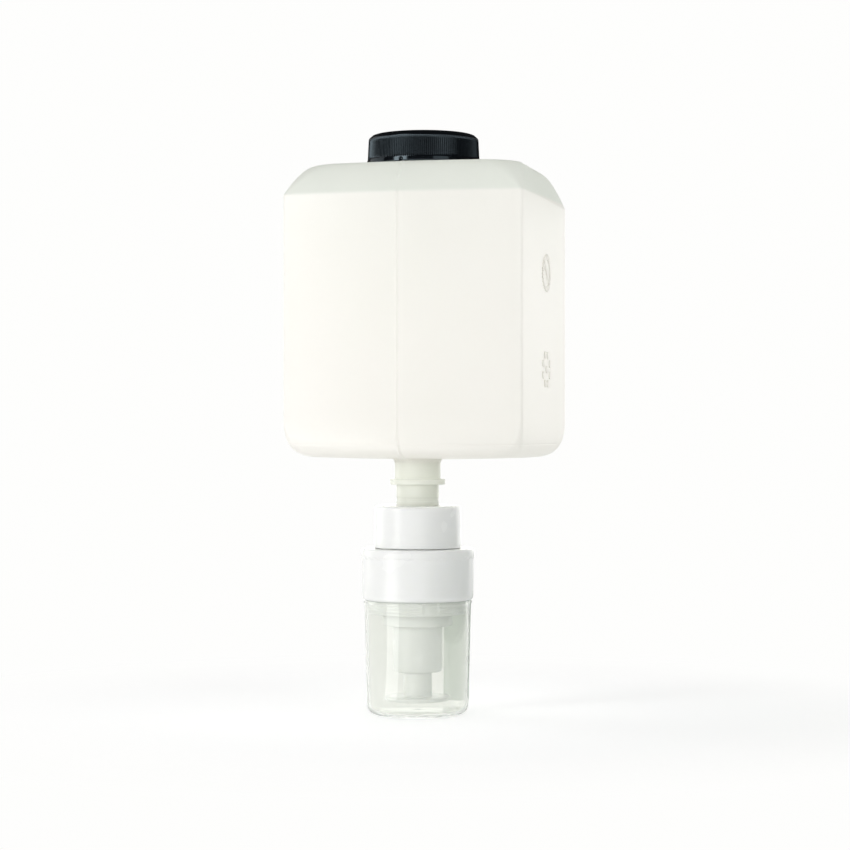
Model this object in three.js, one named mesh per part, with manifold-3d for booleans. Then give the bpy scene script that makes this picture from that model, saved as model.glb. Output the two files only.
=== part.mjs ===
// Inverted soap refill pack: a blow-moulded bottle with a screw cap on top and a foam pump below.
// Millimetres, +Z up, -Y is the front. The origin is below the middle of the bottle, level with
// the flat underside of the clear overcap. The pump's own pieces are drawn about its axis.
import * as THREE from 'three';
import { mergeVertices } from 'three/addons/utils/BufferGeometryUtils.js';
import Module from 'manifold-3d';

const wasm = await Module();
wasm.setup();

// Clearances
const seatGap = 0.3;
const slideGap = 0.3;
const handGap = 0.5;

// Facets round a turn, for the large outer pieces and for the small inner ones
const outerFacets = 40;
const innerFacets = 24;
const smallFacets = 12;
const cornerFacets = 4;

// Bottle body: the front is slightly bowed, and its upright edges are crisp
const bodyWidth = 109;
const bodyDepth = 87.5;
const frontBow = 3.5;
const bodyBottom = 114.3;
const bodyTop = 244.7;
const bottomSag = 0.9;
const topCrown = 0.4;
const bottleWall = 1.2;
const frontEdgeRadius = 1.6;
const backEdgeRadius = 5;
const partingHeight = 0.3;
const partingWidth = 0.7;

// Shoulder and base: how far each side draws in, and over what rise
const shoulderRise = 14.2;
const baseRise = 14.5;
const shoulderDraw = { side: 7.5, front: 10, back: 11, corner: 17 };
const baseDraw = { side: 8, front: 11, back: 10, corner: 18 };
const shoulderCrease = 0.33;
const baseCrease = 0.04;
const domeRings = 6;
const rearFall = 2;
const rearFallStart = -19;

// Filler neck and its screw cap
const fillerAxisY = -6;
const fillerBore = 19;
const fillerWall = 1.6;
const fillerNeckRise = 11.7;
const capWall = 3.6;
const capTaper = 0.5;
const capHeight = 14.2;
const capPlate = 1.4;
const capBevel = 1.6;
const capRimHeight = 2.6;
const capBandHeight = 2.2;
const capRibs = 110;
const capRibDepth = 0.35;
const linerThickness = 0.8;

// Thread between the filler neck and the screw cap: right-handed, with a round crest
const threadPitch = 4.2;
const threadCrest = 0.9;
const threadTurns = 1.25;
const threadStart = 4.3;
const threadStepsPerTurn = 24;
const threadFacets = 6;

// Outlet neck with its transfer flange
const pumpAxisY = -15.5;
const outletUpperRadius = 10.2;
const outletLowerRadius = 9.5;
const outletWall = 1.6;
const flangeRadius = 12.3;
const flangeTop = 104.75;
const flangeThickness = 2.45;
const outletEnd = 78;
const holeOvershoot = 1;

// Moulded round marks on the right side
const markRadius = 8.5;
const markHeights = [196.7, 153.6];
const markY = 3;
const markRelief = 0.35;
const markDots = 8;
const markTeeth = 24;
const markToothShare = 0.1;
const markInnerShare = 0.68;
const markBarShare = 0.09;
const markDotShare = 0.2;

// Pump housing: the wide ring outside, the air cylinder and the liquid cylinder inside
const ringRadius = 25.3;
const ringTaper = 0.4;
const ringTop = 73.9;
const ringBottom = 51.2;
const ringChamfer = 1.3;
const ringLip = 3.5;
const ringLipStep = 0.25;
const ringWall = 2;
const airBore = 16.4;
const airWall = 1.3;
const airRoof = 76.5;
const roofThickness = 1.6;
const liquidBore = 5.2;
const liquidWall = 1.4;
const liquidRoofUnder = 89;
const liquidRoofThickness = 1.4;
const inletPorts = 6;
const inletPortRadius = 0.8;
const inletPortShare = 0.55;

// Collar
const collarRadius = 19.33;
const collarBelowFlange = 9.4;
const collarWall = 1.33;
const collarPlate = 1.9;
const collarTopRadius = 1.3;

// Guide cover below the housing
const spigotClearance = 1.1;
const spigotWall = 1.4;
const spigotBottom = 44.8;
const spigotTop = 57.4;
const spigotChamfer = 0.8;
const spigotBeads = 3;
const spigotBeadHeight = 0.25;
const spigotBeadHalf = 0.4;
const spigotBeadFirst = 1.6;
const spigotBeadPitch = 1.7;
const snapHeight = 1;
const snapSlope = 0.4;
const stepRadius = 15.6;
const stepBottom = 39.5;
const stepChamfer = 0.5;
const sleeveRadius = 11.05;
const sleeveBottom = 18.8;
const sleeveWall = 1.3;
const sleevePlate = 1.8;
const sleeveCornerRadius = 2.5;
const guideHeight = 11;
const coverFloor = 1.4;

// Stem with its foot disc
const stemRadius = 6.35;
const stemBore = 4.9;
const stemTop = 53;
const footRadius = 14.4;
const footBottom = 6.3;
const footThickness = 1.8;
const tipRadius = 4.6;
const tipDrop = 1.1;
const footEase = 0.4;
const outletHole = 3.4;
const screenShoulder = 15;

// Pistons, spring, valves and foam screens
const valveStemRadius = 0.9;
const valveHeadRadius = 4.2;
const valveHeadThickness = 0.8;
const valveBarb = 0.6;
const airPistonBottom = 48.8;
const airPistonTop = 55.5;
const airWebBottom = 50.5;
const airWebThickness = 1.4;
const airLip = 1.2;
const pistonHubWall = 1.5;
const airPorts = 6;
const airPortRadius = 0.9;
const airPortCircle = 12.4;
const airValveThickness = 0.6;
const rodRadius = 2.6;
const rodBore = 1.3;
const rodPlugBottom = 47.5;
const cupBottom = 75.2;
const cupHeight = 2.2;
const cupLip = 0.9;
const plugGrooves = 4;
const grooveDepth = 0.9;
const grooveWidth = 1.6;
const duckbillFlange = 1.2;
const duckbillLength = 3.4;
const duckbillRoot = 2.6;
const duckbillTip = 0.9;
const duckbillSlit = { width: 1.2, gap: 0.3, depth: 2 };
const wireRadius = 0.6;
const springRadius = 10.6;
const springTurns = 6.5;
const springEndTurns = 1;
const springEndGap = 0.1;
const springStepsPerTurn = 16;
const wireFacets = 6;
const screenThickness = 0.4;
const screenPitch = 2;
const screenOpening = 1.4;
const holderBottom = 16;
const holderTop = 40;
const holderWall = 0.7;
const gasketThickness = 0.9;

// Overcap
const overcapFit = 0.4;
const overcapDraft = 1.15;
const overcapWall = 1.3;
const overcapFloor = 1.5;
const overcapCorner = 4;
const overcapRim = 0.35;
const overcapRimHeight = 1.6;
const gateRadius = 1.5;
const gateHeight = 0.5;

// Materials
const milky = new THREE.MeshStandardMaterial({ color: 0xf3f2ec, roughness: 0.45 });
const black = new THREE.MeshStandardMaterial({ color: 0x15161a, roughness: 0.3 });
const white = new THREE.MeshStandardMaterial({ color: 0xf4f5f2, roughness: 0.35 });
const clear = new THREE.MeshStandardMaterial({
  color: 0xf2f6f2, roughness: 0.05, transparent: true, opacity: 0.3,
});
const silicone = new THREE.MeshStandardMaterial({ color: 0xdfe3e0, roughness: 0.6 });
const steel = new THREE.MeshStandardMaterial({ color: 0xb8babd, roughness: 0.25, metalness: 1 });

// Places that follow from the sizes above
const backFace = (bodyDepth + frontBow) / 2;
const frontEdge = backFace - bodyDepth;
const shoulderLevel = bodyTop - shoulderRise;
const fillerRadius = fillerBore + fillerWall;
const fillerNeckTop = bodyTop + fillerNeckRise;
const capBottom = bodyTop + handGap;
const capTop = capBottom + capHeight;
const capInnerRadius = fillerRadius + threadCrest + seatGap;
const capOuterRadius = capInnerRadius + capWall;
const flangeBottom = flangeTop - flangeThickness;
const collarTop = flangeBottom - collarBelowFlange;
const ringInner = ringRadius - ringTaper - ringWall;
const spigotRadius = ringInner - spigotClearance;
const overcapTopRadius = spigotRadius + spigotBeadHeight + overcapFit + overcapWall;
const overcapBottomRadius = overcapTopRadius - overcapDraft;
const pistonHub = stemRadius + seatGap;
const airWebTop = airWebBottom + airWebThickness;

// A closed geometry as a solid for joining and cutting.
function solid(geometry) {
  const bare = geometry.index ? geometry.toNonIndexed() : geometry.clone();
  bare.deleteAttribute('normal');
  bare.deleteAttribute('uv');
  const merged = mergeVertices(bare);
  const corners = merged.index.array;
  const triangles = [];
  for (let i = 0; i < corners.length; i += 3) {
    const [a, b, c] = [corners[i], corners[i + 1], corners[i + 2]];
    if (a !== b && b !== c && c !== a) triangles.push(a, b, c);
  }
  return new wasm.Manifold(new wasm.Mesh({
    numProp: 3,
    vertProperties: merged.attributes.position.array,
    triVerts: new Uint32Array(triangles),
  }));
}

// A named mesh of a solid.
function piece(name, body, material) {
  const { vertProperties, triVerts } = body.getMesh();
  const geometry = new THREE.BufferGeometry();
  geometry.setAttribute('position', new THREE.BufferAttribute(new Float32Array(vertProperties), 3));
  geometry.setIndex(new THREE.BufferAttribute(new Uint32Array(triVerts), 1));
  geometry.computeVertexNormals();
  const mesh = new THREE.Mesh(geometry, material);
  mesh.name = name;
  return mesh;
}

// A turned body: [radius, height] corners, counter-clockwise, closed on itself or on the axis.
function turned(profile, facets = outerFacets) {
  const points = profile.map(([radius, height]) => new THREE.Vector2(radius, height));
  const onAxis = profile[0][0] === 0 && profile.at(-1)[0] === 0;
  if (!onAxis) points.push(points[0].clone());
  const geometry = new THREE.LatheGeometry(points, facets);
  geometry.rotateX(Math.PI / 2);
  return geometry;
}

// Corners along a quarter turn, from one angle to another, for a turned profile.
function arc(radius, height, size, from, to, steps = 3) {
  return Array.from({ length: steps + 1 }, (_, i) => {
    const angle = THREE.MathUtils.degToRad(from + (to - from) * i / steps);
    return [radius + size * Math.cos(angle), height + size * Math.sin(angle)];
  });
}

// A round bar along Z.
function bar(radius, bottom, top, facets = innerFacets) {
  return turned([[0, bottom], [radius, bottom], [radius, top], [0, top]], facets);
}

// The same small cutter or boss at even places on a circle about the axis.
function aroundAxis(count, make) {
  return Array.from({ length: count }, (_, i) => {
    const geometry = make();
    geometry.rotateZ(i * 2 * Math.PI / count);
    return solid(geometry);
  });
}

// A skin over a stack of outlines with equal counts, closed at both ends by a fan to its middle.
function lofted(outlines, endDrop, endRise) {
  const count = outlines[0].length;
  const positions = outlines.flat().flatMap((p) => [p.x, p.y, p.z]);
  const faces = [];
  for (let ring = 0; ring + 1 < outlines.length; ring += 1) {
    for (let i = 0; i < count; i += 1) {
      const a = ring * count + i;
      const b = ring * count + (i + 1) % count;
      faces.push(a, b, b + count, a, b + count, a + count);
    }
  }
  const middle = (outline, shift) => {
    const box = new THREE.Box3().setFromPoints(outline);
    const centre = box.getCenter(new THREE.Vector3());
    positions.push(centre.x, centre.y, outline[0].z + shift);
    return positions.length / 3 - 1;
  };
  const bottom = middle(outlines[0], -endDrop);
  const top = middle(outlines.at(-1), endRise);
  const last = (outlines.length - 1) * count;
  for (let i = 0; i < count; i += 1) {
    const next = (i + 1) % count;
    faces.push(bottom, next, i, top, last + i, last + next);
  }
  const geometry = new THREE.BufferGeometry();
  geometry.setAttribute('position', new THREE.Float32BufferAttribute(positions, 3));
  geometry.setIndex(faces);
  return geometry;
}

// The draw-in along a dome: a quadratic curve that leaves the upright wall at a crease of its
// own and ends level. The share runs from 0 at the wall to 1 on the flat.
function domeStation(share, crease) {
  const draw = 2 * share * (1 - share) * crease + share * share;
  const rise = 1 - (1 - share) * (1 - share);
  return { draw, rise };
}

// One level outline of the body, with every side drawn in and the skin's own inset.
function bodyOutline(level, draws, share, inset) {
  const half = bodyWidth / 2 - draws.side * share - inset;
  const front = frontEdge + draws.front * share + inset;
  const back = backFace - draws.back * share - inset;
  const frontCorner = Math.max(frontEdgeRadius - inset, 0.4) + draws.corner * share;
  const backCorner = backEdgeRadius - inset + draws.corner * share;
  const reach = half - frontCorner;
  const shape = new THREE.Shape();
  shape.moveTo(-reach, front);
  shape.quadraticCurveTo(0, front - 2 * frontBow * (1 - share / 2), reach, front);
  shape.absarc(reach, front + frontCorner, frontCorner, -Math.PI / 2, 0);
  shape.absarc(half - backCorner, back - backCorner, backCorner, 0, Math.PI / 2);
  shape.absarc(-half + backCorner, back - backCorner, backCorner, Math.PI / 2, Math.PI);
  shape.absarc(-reach, front + frontCorner, frontCorner, Math.PI, 1.5 * Math.PI);
  const fallRun = backFace - rearFallStart;
  const fallShare = THREE.MathUtils.smoothstep(level, bodyBottom + baseRise, shoulderLevel);
  const corners = shape.getPoints(cornerFacets).slice(0, -1);
  return corners.map(({ x, y }) => {
    const behind = Math.max(0, y - rearFallStart) / fallRun;
    return new THREE.Vector3(x, y, level - rearFall * behind * fallShare);
  });
}

// The body's skin, or with an inset the hollow inside its wall.
function bodySkin(inset) {
  const outlines = [];
  for (let ring = domeRings; ring >= 0; ring -= 1) {
    const { draw, rise } = domeStation(ring / domeRings, baseCrease);
    const level = bodyBottom + inset + (baseRise - inset) * (1 - rise);
    outlines.push(bodyOutline(level, baseDraw, draw, inset));
  }
  for (let ring = 0; ring <= domeRings; ring += 1) {
    const { draw, rise } = domeStation(ring / domeRings, shoulderCrease);
    const level = shoulderLevel + (shoulderRise - inset) * rise;
    outlines.push(bodyOutline(level, shoulderDraw, draw, inset));
  }
  return lofted(outlines, bottomSag, topCrown);
}

// The line that the two mould halves leave: the body's middle outline, a little prouder.
function partingLine() {
  const side = [];
  const stations = Array.from({ length: domeRings + 1 }, (_, i) => i / domeRings);
  for (const share of stations.slice().reverse()) {
    const { draw, rise } = domeStation(share, baseCrease);
    side.push({ draws: baseDraw, draw, level: bodyBottom + baseRise * (1 - rise) });
  }
  for (const share of stations) {
    const { draw, rise } = domeStation(share, shoulderCrease);
    side.push({ draws: shoulderDraw, draw, level: shoulderLevel + shoulderRise * rise });
  }
  const front = side.map(({ draws, draw, level }) => {
    const bow = frontBow * (1 - draw / 2);
    return new THREE.Vector2(frontEdge + draws.front * draw - bow - partingHeight, level);
  });
  const back = side.map(({ draws, draw, level }) => {
    const fall = rearFall * THREE.MathUtils.smoothstep(level, bodyBottom + baseRise, shoulderLevel);
    return new THREE.Vector2(backFace - draws.back * draw + partingHeight, level - fall);
  });
  const outline = new THREE.Shape([...back, ...front.reverse()]);
  const geometry = new THREE.ExtrudeGeometry(outline, {
    depth: partingWidth, bevelEnabled: false, steps: 1,
  });
  geometry.translate(0, 0, -partingWidth / 2);
  geometry.rotateY(Math.PI / 2);
  geometry.rotateX(Math.PI / 2);
  return geometry;
}

// Lays a flat relief, drawn with X to the rear and Y up, on the right side of the body.
function onRightSide(shape, level) {
  const sunk = bottleWall / 2;
  const geometry = new THREE.ExtrudeGeometry(shape, {
    depth: markRelief + sunk, bevelEnabled: false, curveSegments: markTeeth / 4,
  });
  geometry.rotateX(Math.PI / 2);
  geometry.rotateZ(Math.PI / 2);
  geometry.translate(bodyWidth / 2 - sunk, markY, level);
  return solid(geometry);
}

// A toothed ring with a slanted bar across it.
function toothedMark(level) {
  const ring = new THREE.Shape();
  const tooth = markRadius * markToothShare;
  for (let i = 0; i < 2 * markTeeth; i += 1) {
    const angle = i * Math.PI / markTeeth;
    const radius = markRadius - (i % 2) * tooth;
    const at = [radius * Math.cos(angle), radius * Math.sin(angle)];
    if (i === 0) ring.moveTo(...at);
    else ring.lineTo(...at);
  }
  ring.closePath();
  const inner = markRadius * markInnerShare;
  ring.holes.push(new THREE.Path().absarc(0, 0, inner, 0, 2 * Math.PI, true));
  const slant = new THREE.Shape();
  const half = markRadius * markBarShare;
  const reach = (inner + markRadius - tooth) / 2;
  const [along, across] = [reach * Math.SQRT1_2, half * Math.SQRT1_2];
  slant.moveTo(-along - across, -along + across);
  slant.lineTo(-along + across, -along - across);
  slant.lineTo(along + across, along - across);
  slant.lineTo(along - across, along + across);
  return onRightSide(ring, level).add(onRightSide(slant, level));
}

// A ring of round dots about a middle one.
function dottedMark(level) {
  const dot = markRadius * markDotShare;
  const circle = markRadius - dot;
  const dots = Array.from({ length: markDots }, (_, i) => {
    const angle = i * 2 * Math.PI / markDots;
    return new THREE.Shape().absarc(circle * Math.cos(angle), circle * Math.sin(angle), dot,
      0, 2 * Math.PI);
  });
  dots.push(new THREE.Shape().absarc(0, 0, dot, 0, 2 * Math.PI));
  return dots.map((shape) => onRightSide(shape, level)).reduce((all, next) => all.add(next));
}

// A helix, whose end turns may lie closed and flat.
class Helix extends THREE.Curve {
  constructor(radius, bottom, top, turns, endTurns = 0, pitch = 0) {
    super();
    Object.assign(this, { radius, bottom, top, turns, endTurns, pitch });
  }

  getPoint(t, target = new THREE.Vector3()) {
    const turn = t * this.turns;
    const closed = this.endTurns * this.pitch;
    const open = this.top - this.bottom - 2 * closed;
    const middle = this.turns - 2 * this.endTurns;
    const low = Math.min(turn, this.endTurns) * this.pitch;
    const mid = open * THREE.MathUtils.clamp((turn - this.endTurns) / middle, 0, 1);
    const high = Math.max(0, turn - this.turns + this.endTurns) * this.pitch;
    const angle = turn * 2 * Math.PI;
    return target.set(this.radius * Math.cos(angle), this.radius * Math.sin(angle),
      this.bottom + low + mid + high);
  }
}

// A round bar bent along a helix.
function coiled(path, radius, stepsPerTurn, facets) {
  const section = new THREE.Shape().absarc(0, 0, radius, 0, 2 * Math.PI);
  return new THREE.ExtrudeGeometry(section, {
    extrudePath: path, steps: path.turns * stepsPerTurn, curveSegments: facets / 2,
    bevelEnabled: false,
  });
}

// A thread ridge on a wall of the given radius, from its first centre level upwards.
function threadRidge(radius, bottom) {
  const path = new Helix(radius, bottom, bottom + threadTurns * threadPitch, threadTurns);
  return coiled(path, threadCrest, threadStepsPerTurn, threadFacets);
}

// The bottle: body, filler neck with its thread, outlet neck and flange in one blown shell.
function bottle() {
  const neckRoot = bodyTop - bottleWall - rearFall;
  const filler = bar(fillerRadius, neckRoot, fillerNeckTop, outerFacets);
  filler.translate(0, fillerAxisY, 0);
  const thread = threadRidge(fillerRadius, bodyTop + threadStart);
  thread.translate(0, fillerAxisY, 0);
  const fillerHole = bar(fillerBore, neckRoot - bottleWall, fillerNeckTop + holeOvershoot,
    outerFacets);
  fillerHole.translate(0, fillerAxisY, 0);

  const outletRoot = bodyBottom + bottleWall;
  const outlet = turned([
    [0, outletEnd], [outletLowerRadius, outletEnd],
    [outletLowerRadius, flangeBottom], [flangeRadius, flangeBottom],
    [flangeRadius, flangeTop], [outletUpperRadius, flangeTop],
    [outletUpperRadius, outletRoot], [0, outletRoot],
  ], outerFacets);
  outlet.translate(0, pumpAxisY, 0);
  const outletHole = bar(outletLowerRadius - outletWall, outletEnd - holeOvershoot,
    outletRoot + holeOvershoot, outerFacets);
  outletHole.translate(0, pumpAxisY, 0);

  return solid(bodySkin(0))
    .add(solid(partingLine()))
    .add(toothedMark(markHeights[0]))
    .add(dottedMark(markHeights[1]))
    .add(solid(filler))
    .add(solid(thread))
    .add(solid(outlet))
    .subtract(solid(bodySkin(bottleWall)))
    .subtract(solid(fillerHole))
    .subtract(solid(outletHole));
}

// The screw cap: a plate with a bevelled rim, a slightly flared skirt, fine upright ribs outside
// and a thread inside, which runs half a pitch under the neck's.
function fillerCap() {
  const plateRadius = capOuterRadius - capTaper - capBevel;
  const shell = turned([
    [capInnerRadius, capBottom], [capOuterRadius - capRibDepth, capBottom],
    [capOuterRadius - capRibDepth - capTaper, capTop - capRimHeight],
    [plateRadius + capBevel / 2, capTop - capRimHeight + capBevel / 2],
    [plateRadius, capTop - capRibDepth], [plateRadius - capRibDepth, capTop],
    [0, capTop], [0, capTop - capPlate], [capInnerRadius, capTop - capPlate],
  ]);
  const ribs = new THREE.Shape();
  for (let i = 0; i < 2 * capRibs; i += 1) {
    const angle = i * Math.PI / capRibs;
    const radius = capOuterRadius - (i % 2) * capRibDepth - capTaper / 2;
    const at = [radius * Math.cos(angle), radius * Math.sin(angle)];
    if (i === 0) ribs.moveTo(...at);
    else ribs.lineTo(...at);
  }
  ribs.closePath();
  const innerEdge = (capInnerRadius + capOuterRadius) / 2;
  ribs.holes.push(new THREE.Path().absarc(0, 0, innerEdge, 0, 2 * Math.PI, true));
  const ribBand = new THREE.ExtrudeGeometry(ribs, {
    depth: capHeight - capBandHeight - capRimHeight, bevelEnabled: false, steps: 1,
  });
  ribBand.translate(0, 0, capBottom + capBandHeight);
  const band = turned([
    [innerEdge, capBottom], [capOuterRadius, capBottom],
    [capOuterRadius, capBottom + capBandHeight], [innerEdge, capBottom + capBandHeight],
  ]);
  const thread = threadRidge(capInnerRadius, bodyTop + threadStart - threadPitch / 2);
  return solid(shell).add(solid(ribBand)).add(solid(band)).add(solid(thread));
}

// The cap's sealing disc lies between its plate and the end of the filler neck.
function capLiner() {
  const top = capTop - capPlate - seatGap;
  return solid(bar(capInnerRadius - seatGap, top - linerThickness, top, outerFacets));
}

// The white collar: an outer skirt over the housing's boss and an inner tube round the neck.
function pumpCollar() {
  const hole = outletLowerRadius + handGap;
  const tubeRadius = hole + collarWall;
  const skirtInner = collarRadius - collarWall;
  const under = collarTop - collarPlate;
  const tubeEnd = outletEnd + gasketThickness;
  return solid(turned([
    [hole, tubeEnd], [tubeRadius, tubeEnd], [tubeRadius, under], [skirtInner, under],
    [skirtInner, ringTop + seatGap], [collarRadius, ringTop + seatGap],
    ...arc(collarRadius - collarTopRadius, collarTop - collarTopRadius, collarTopRadius, 0, 90),
    [hole, collarTop],
  ]));
}

function neckGasket() {
  const bottom = airRoof + seatGap;
  return solid(turned([
    [liquidBore + liquidWall + seatGap, bottom], [outletLowerRadius + handGap, bottom],
    [outletLowerRadius + handGap, bottom + gasketThickness],
    [liquidBore + liquidWall + seatGap, bottom + gasketThickness],
  ], innerFacets));
}

// The housing: one moulding with the outer ring, the air cylinder and the liquid cylinder.
function pumpHousing() {
  const liquidOuter = liquidBore + liquidWall;
  const airOuter = airBore + airWall;
  const roofUnder = airRoof - roofThickness;
  const webUnder = ringTop - roofThickness;
  const liquidRoof = liquidRoofUnder + liquidRoofThickness;
  const lowRadius = ringRadius - ringTaper;
  const airEnd = spigotBottom + coverFloor + seatGap;
  const body = solid(turned([
    [0, liquidRoofUnder], [liquidBore, liquidRoofUnder], [liquidBore, roofUnder],
    [airBore, roofUnder], [airBore, airEnd], [airOuter, airEnd], [airOuter, webUnder],
    [ringInner, webUnder], [ringInner, ringBottom], [lowRadius - ringChamfer / 2, ringBottom],
    [lowRadius, ringBottom + ringChamfer],
    [ringRadius - ringLipStep, ringTop - ringLip], [ringRadius, ringTop - ringLip + ringLipStep],
    [ringRadius, ringTop - ringLipStep], [ringRadius - ringLipStep, ringTop],
    [airOuter, ringTop], [airOuter, airRoof], [liquidOuter, airRoof],
    [liquidOuter, liquidRoof], [0, liquidRoof],
  ]));
  const [under, over] = [liquidRoofUnder - holeOvershoot, liquidRoof + holeOvershoot];
  const ports = aroundAxis(inletPorts, () => {
    const port = bar(inletPortRadius, under, over, smallFacets);
    port.translate(liquidBore * inletPortShare, 0, 0);
    return port;
  });
  const valveHole = solid(bar(valveStemRadius + seatGap, under, over, smallFacets));
  return ports.reduce((left, port) => left.subtract(port), body).subtract(valveHole);
}

// The umbrella valve hangs under the liquid cylinder's roof and covers its ports.
function inletValve() {
  const under = liquidRoofUnder - seatGap;
  const over = liquidRoofUnder + liquidRoofThickness + seatGap;
  return solid(turned([
    [0, under - valveHeadThickness], [valveHeadRadius * 0.6, under - valveHeadThickness],
    [valveHeadRadius, under - valveHeadThickness / 4], [valveHeadRadius, under],
    [valveStemRadius, under], [valveStemRadius, over], [valveStemRadius + valveBarb, over],
    [valveStemRadius, over + 3 * valveBarb], [0, over + 3 * valveBarb],
  ], smallFacets));
}

// The guide cover: a snap-in spigot, a stepped floor, and the sleeve that guides the stem.
function guideCover() {
  const spigotInner = spigotRadius - spigotWall;
  const snapRadius = ringInner - seatGap;
  const guide = stemRadius + slideGap;
  const sleeveInner = sleeveRadius - sleeveWall;
  const beads = Array.from({ length: spigotBeads }, (_, i) => {
    const level = spigotBottom + spigotBeadFirst + i * spigotBeadPitch;
    return [
      [spigotRadius, level - spigotBeadHalf], [spigotRadius + spigotBeadHeight, level],
      [spigotRadius, level + spigotBeadHalf],
    ];
  }).flat();
  return solid(turned([
    [guide, sleeveBottom], [sleeveRadius - sleeveCornerRadius, sleeveBottom],
    ...arc(sleeveRadius - sleeveCornerRadius, sleeveBottom + sleeveCornerRadius,
      sleeveCornerRadius, -60, 0),
    [sleeveRadius, stepBottom], [stepRadius - stepChamfer, stepBottom],
    [stepRadius, stepBottom + stepChamfer], [stepRadius, spigotBottom],
    [spigotRadius - spigotChamfer, spigotBottom],
    [spigotRadius, spigotBottom + spigotChamfer], ...beads,
    [spigotRadius, spigotTop - snapHeight - snapSlope], [snapRadius, spigotTop - snapHeight],
    [snapRadius, spigotTop],
    [spigotInner, spigotTop], [spigotInner, spigotBottom + coverFloor],
    [stepRadius - coverFloor, spigotBottom + coverFloor],
    [stepRadius - coverFloor, stepBottom + coverFloor],
    [sleeveInner, stepBottom + coverFloor], [sleeveInner, sleeveBottom + sleevePlate],
    [guide + sleeveWall, sleeveBottom + sleevePlate],
    [guide + sleeveWall, sleeveBottom + guideHeight], [guide, sleeveBottom + guideHeight],
  ]));
}

// The stem: the discharge tube with its foot disc and outlet tip.
function stem() {
  const footTop = footBottom + footThickness;
  const edge = footThickness / 3;
  return solid(turned([
    [outletHole, footBottom - tipDrop], [tipRadius, footBottom - tipDrop],
    [tipRadius, footBottom], [footRadius - edge, footBottom],
    [footRadius, footBottom + edge], [footRadius, footTop - edge], [footRadius - edge, footTop],
    [stemRadius + footEase, footTop], [stemRadius, footTop + footEase],
    [stemRadius, stemTop], [stemBore, stemTop], [stemBore, screenShoulder],
    [outletHole, screenShoulder],
  ]));
}

// The air piston: a hub on the stem's end, a ported web and a double lip.
function airPiston() {
  const hubOuter = pistonHub + pistonHubWall;
  const lipOuter = airBore - slideGap;
  const lipInner = lipOuter - airLip;
  const capUnder = stemTop + seatGap;
  const capOver = capUnder + pistonHubWall;
  const body = solid(turned([
    [pistonHub, airPistonBottom], [hubOuter, airPistonBottom], [hubOuter, airWebBottom],
    [lipInner, airWebBottom], [lipInner, airPistonBottom], [lipOuter, airPistonBottom],
    [lipOuter, airPistonTop], [lipInner, airPistonTop], [lipInner, airWebTop],
    [hubOuter, airWebTop], [hubOuter, capOver], [rodRadius + handGap, capOver],
    [rodRadius + handGap, capUnder], [pistonHub, capUnder],
  ], innerFacets));
  const ports = aroundAxis(airPorts, () => {
    const port = bar(airPortRadius, airWebBottom - holeOvershoot, airWebTop + holeOvershoot,
      smallFacets);
    port.translate(airPortCircle, 0, 0);
    return port;
  });
  return ports.reduce((left, port) => left.subtract(port), body);
}

// The flap ring lies on the piston's web, over its ports and under the spring.
function airValve() {
  const bottom = airWebTop + seatGap;
  const inner = pistonHub + pistonHubWall + seatGap;
  const outer = airBore - slideGap - airLip - seatGap;
  return solid(turned([
    [inner, bottom], [outer, bottom], [outer, bottom + airValveThickness],
    [inner, bottom + airValveThickness],
  ], innerFacets));
}

// The liquid piston: a hollow rod with a plug in the stem and a cup in the liquid cylinder.
function liquidPiston() {
  const plugRadius = stemBore - seatGap;
  const cupRadius = liquidBore - slideGap;
  const plugTop = stemTop - seatGap;
  const body = solid(turned([
    [rodBore, rodPlugBottom], [plugRadius, rodPlugBottom], [plugRadius, plugTop],
    [rodRadius, plugTop], [rodRadius, cupBottom], [cupRadius, cupBottom],
    [cupRadius, cupBottom + cupHeight], [cupRadius - cupLip, cupBottom + cupHeight],
    [cupRadius - cupLip, cupBottom + cupLip], [rodBore, cupBottom + cupLip],
  ], innerFacets));
  const grooveLength = plugTop - rodPlugBottom + 2 * holeOvershoot;
  const grooves = aroundAxis(plugGrooves, () => {
    const groove = new THREE.BoxGeometry(2 * grooveDepth, grooveWidth, grooveLength);
    groove.translate(plugRadius, 0, (plugTop + rodPlugBottom) / 2);
    return groove;
  });
  return grooves.reduce((left, groove) => left.subtract(groove), body);
}

// The duckbill under the rod: a flange and a tapered bill with a slit.
function outletValve() {
  const top = rodPlugBottom - seatGap;
  const under = top - duckbillFlange;
  const body = solid(turned([
    [0, under - duckbillLength], [duckbillTip, under - duckbillLength], [duckbillRoot, under],
    [stemBore - seatGap, under], [stemBore - seatGap, top], [rodBore, top],
    [rodBore, under], [0, under - duckbillLength + duckbillSlit.depth / 2],
  ], smallFacets));
  const slit = new THREE.BoxGeometry(duckbillSlit.width, duckbillSlit.gap,
    2 * duckbillSlit.depth);
  slit.translate(0, 0, under - duckbillLength);
  return body.subtract(solid(slit));
}

function returnSpring() {
  const seat = airWebTop + seatGap + airValveThickness + seatGap;
  const roof = airRoof - roofThickness - seatGap;
  const path = new Helix(springRadius, seat + wireRadius, roof - wireRadius,
    springTurns, springEndTurns, 2 * wireRadius + springEndGap);
  return solid(coiled(path, wireRadius, springStepsPerTurn, wireFacets));
}

// The tube that holds the foam screens apart inside the stem.
function meshHolder() {
  const outer = stemBore - seatGap;
  return solid(turned([
    [outer - holderWall, holderBottom], [outer, holderBottom], [outer, holderTop],
    [outer - holderWall, holderTop],
  ], innerFacets));
}

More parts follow.
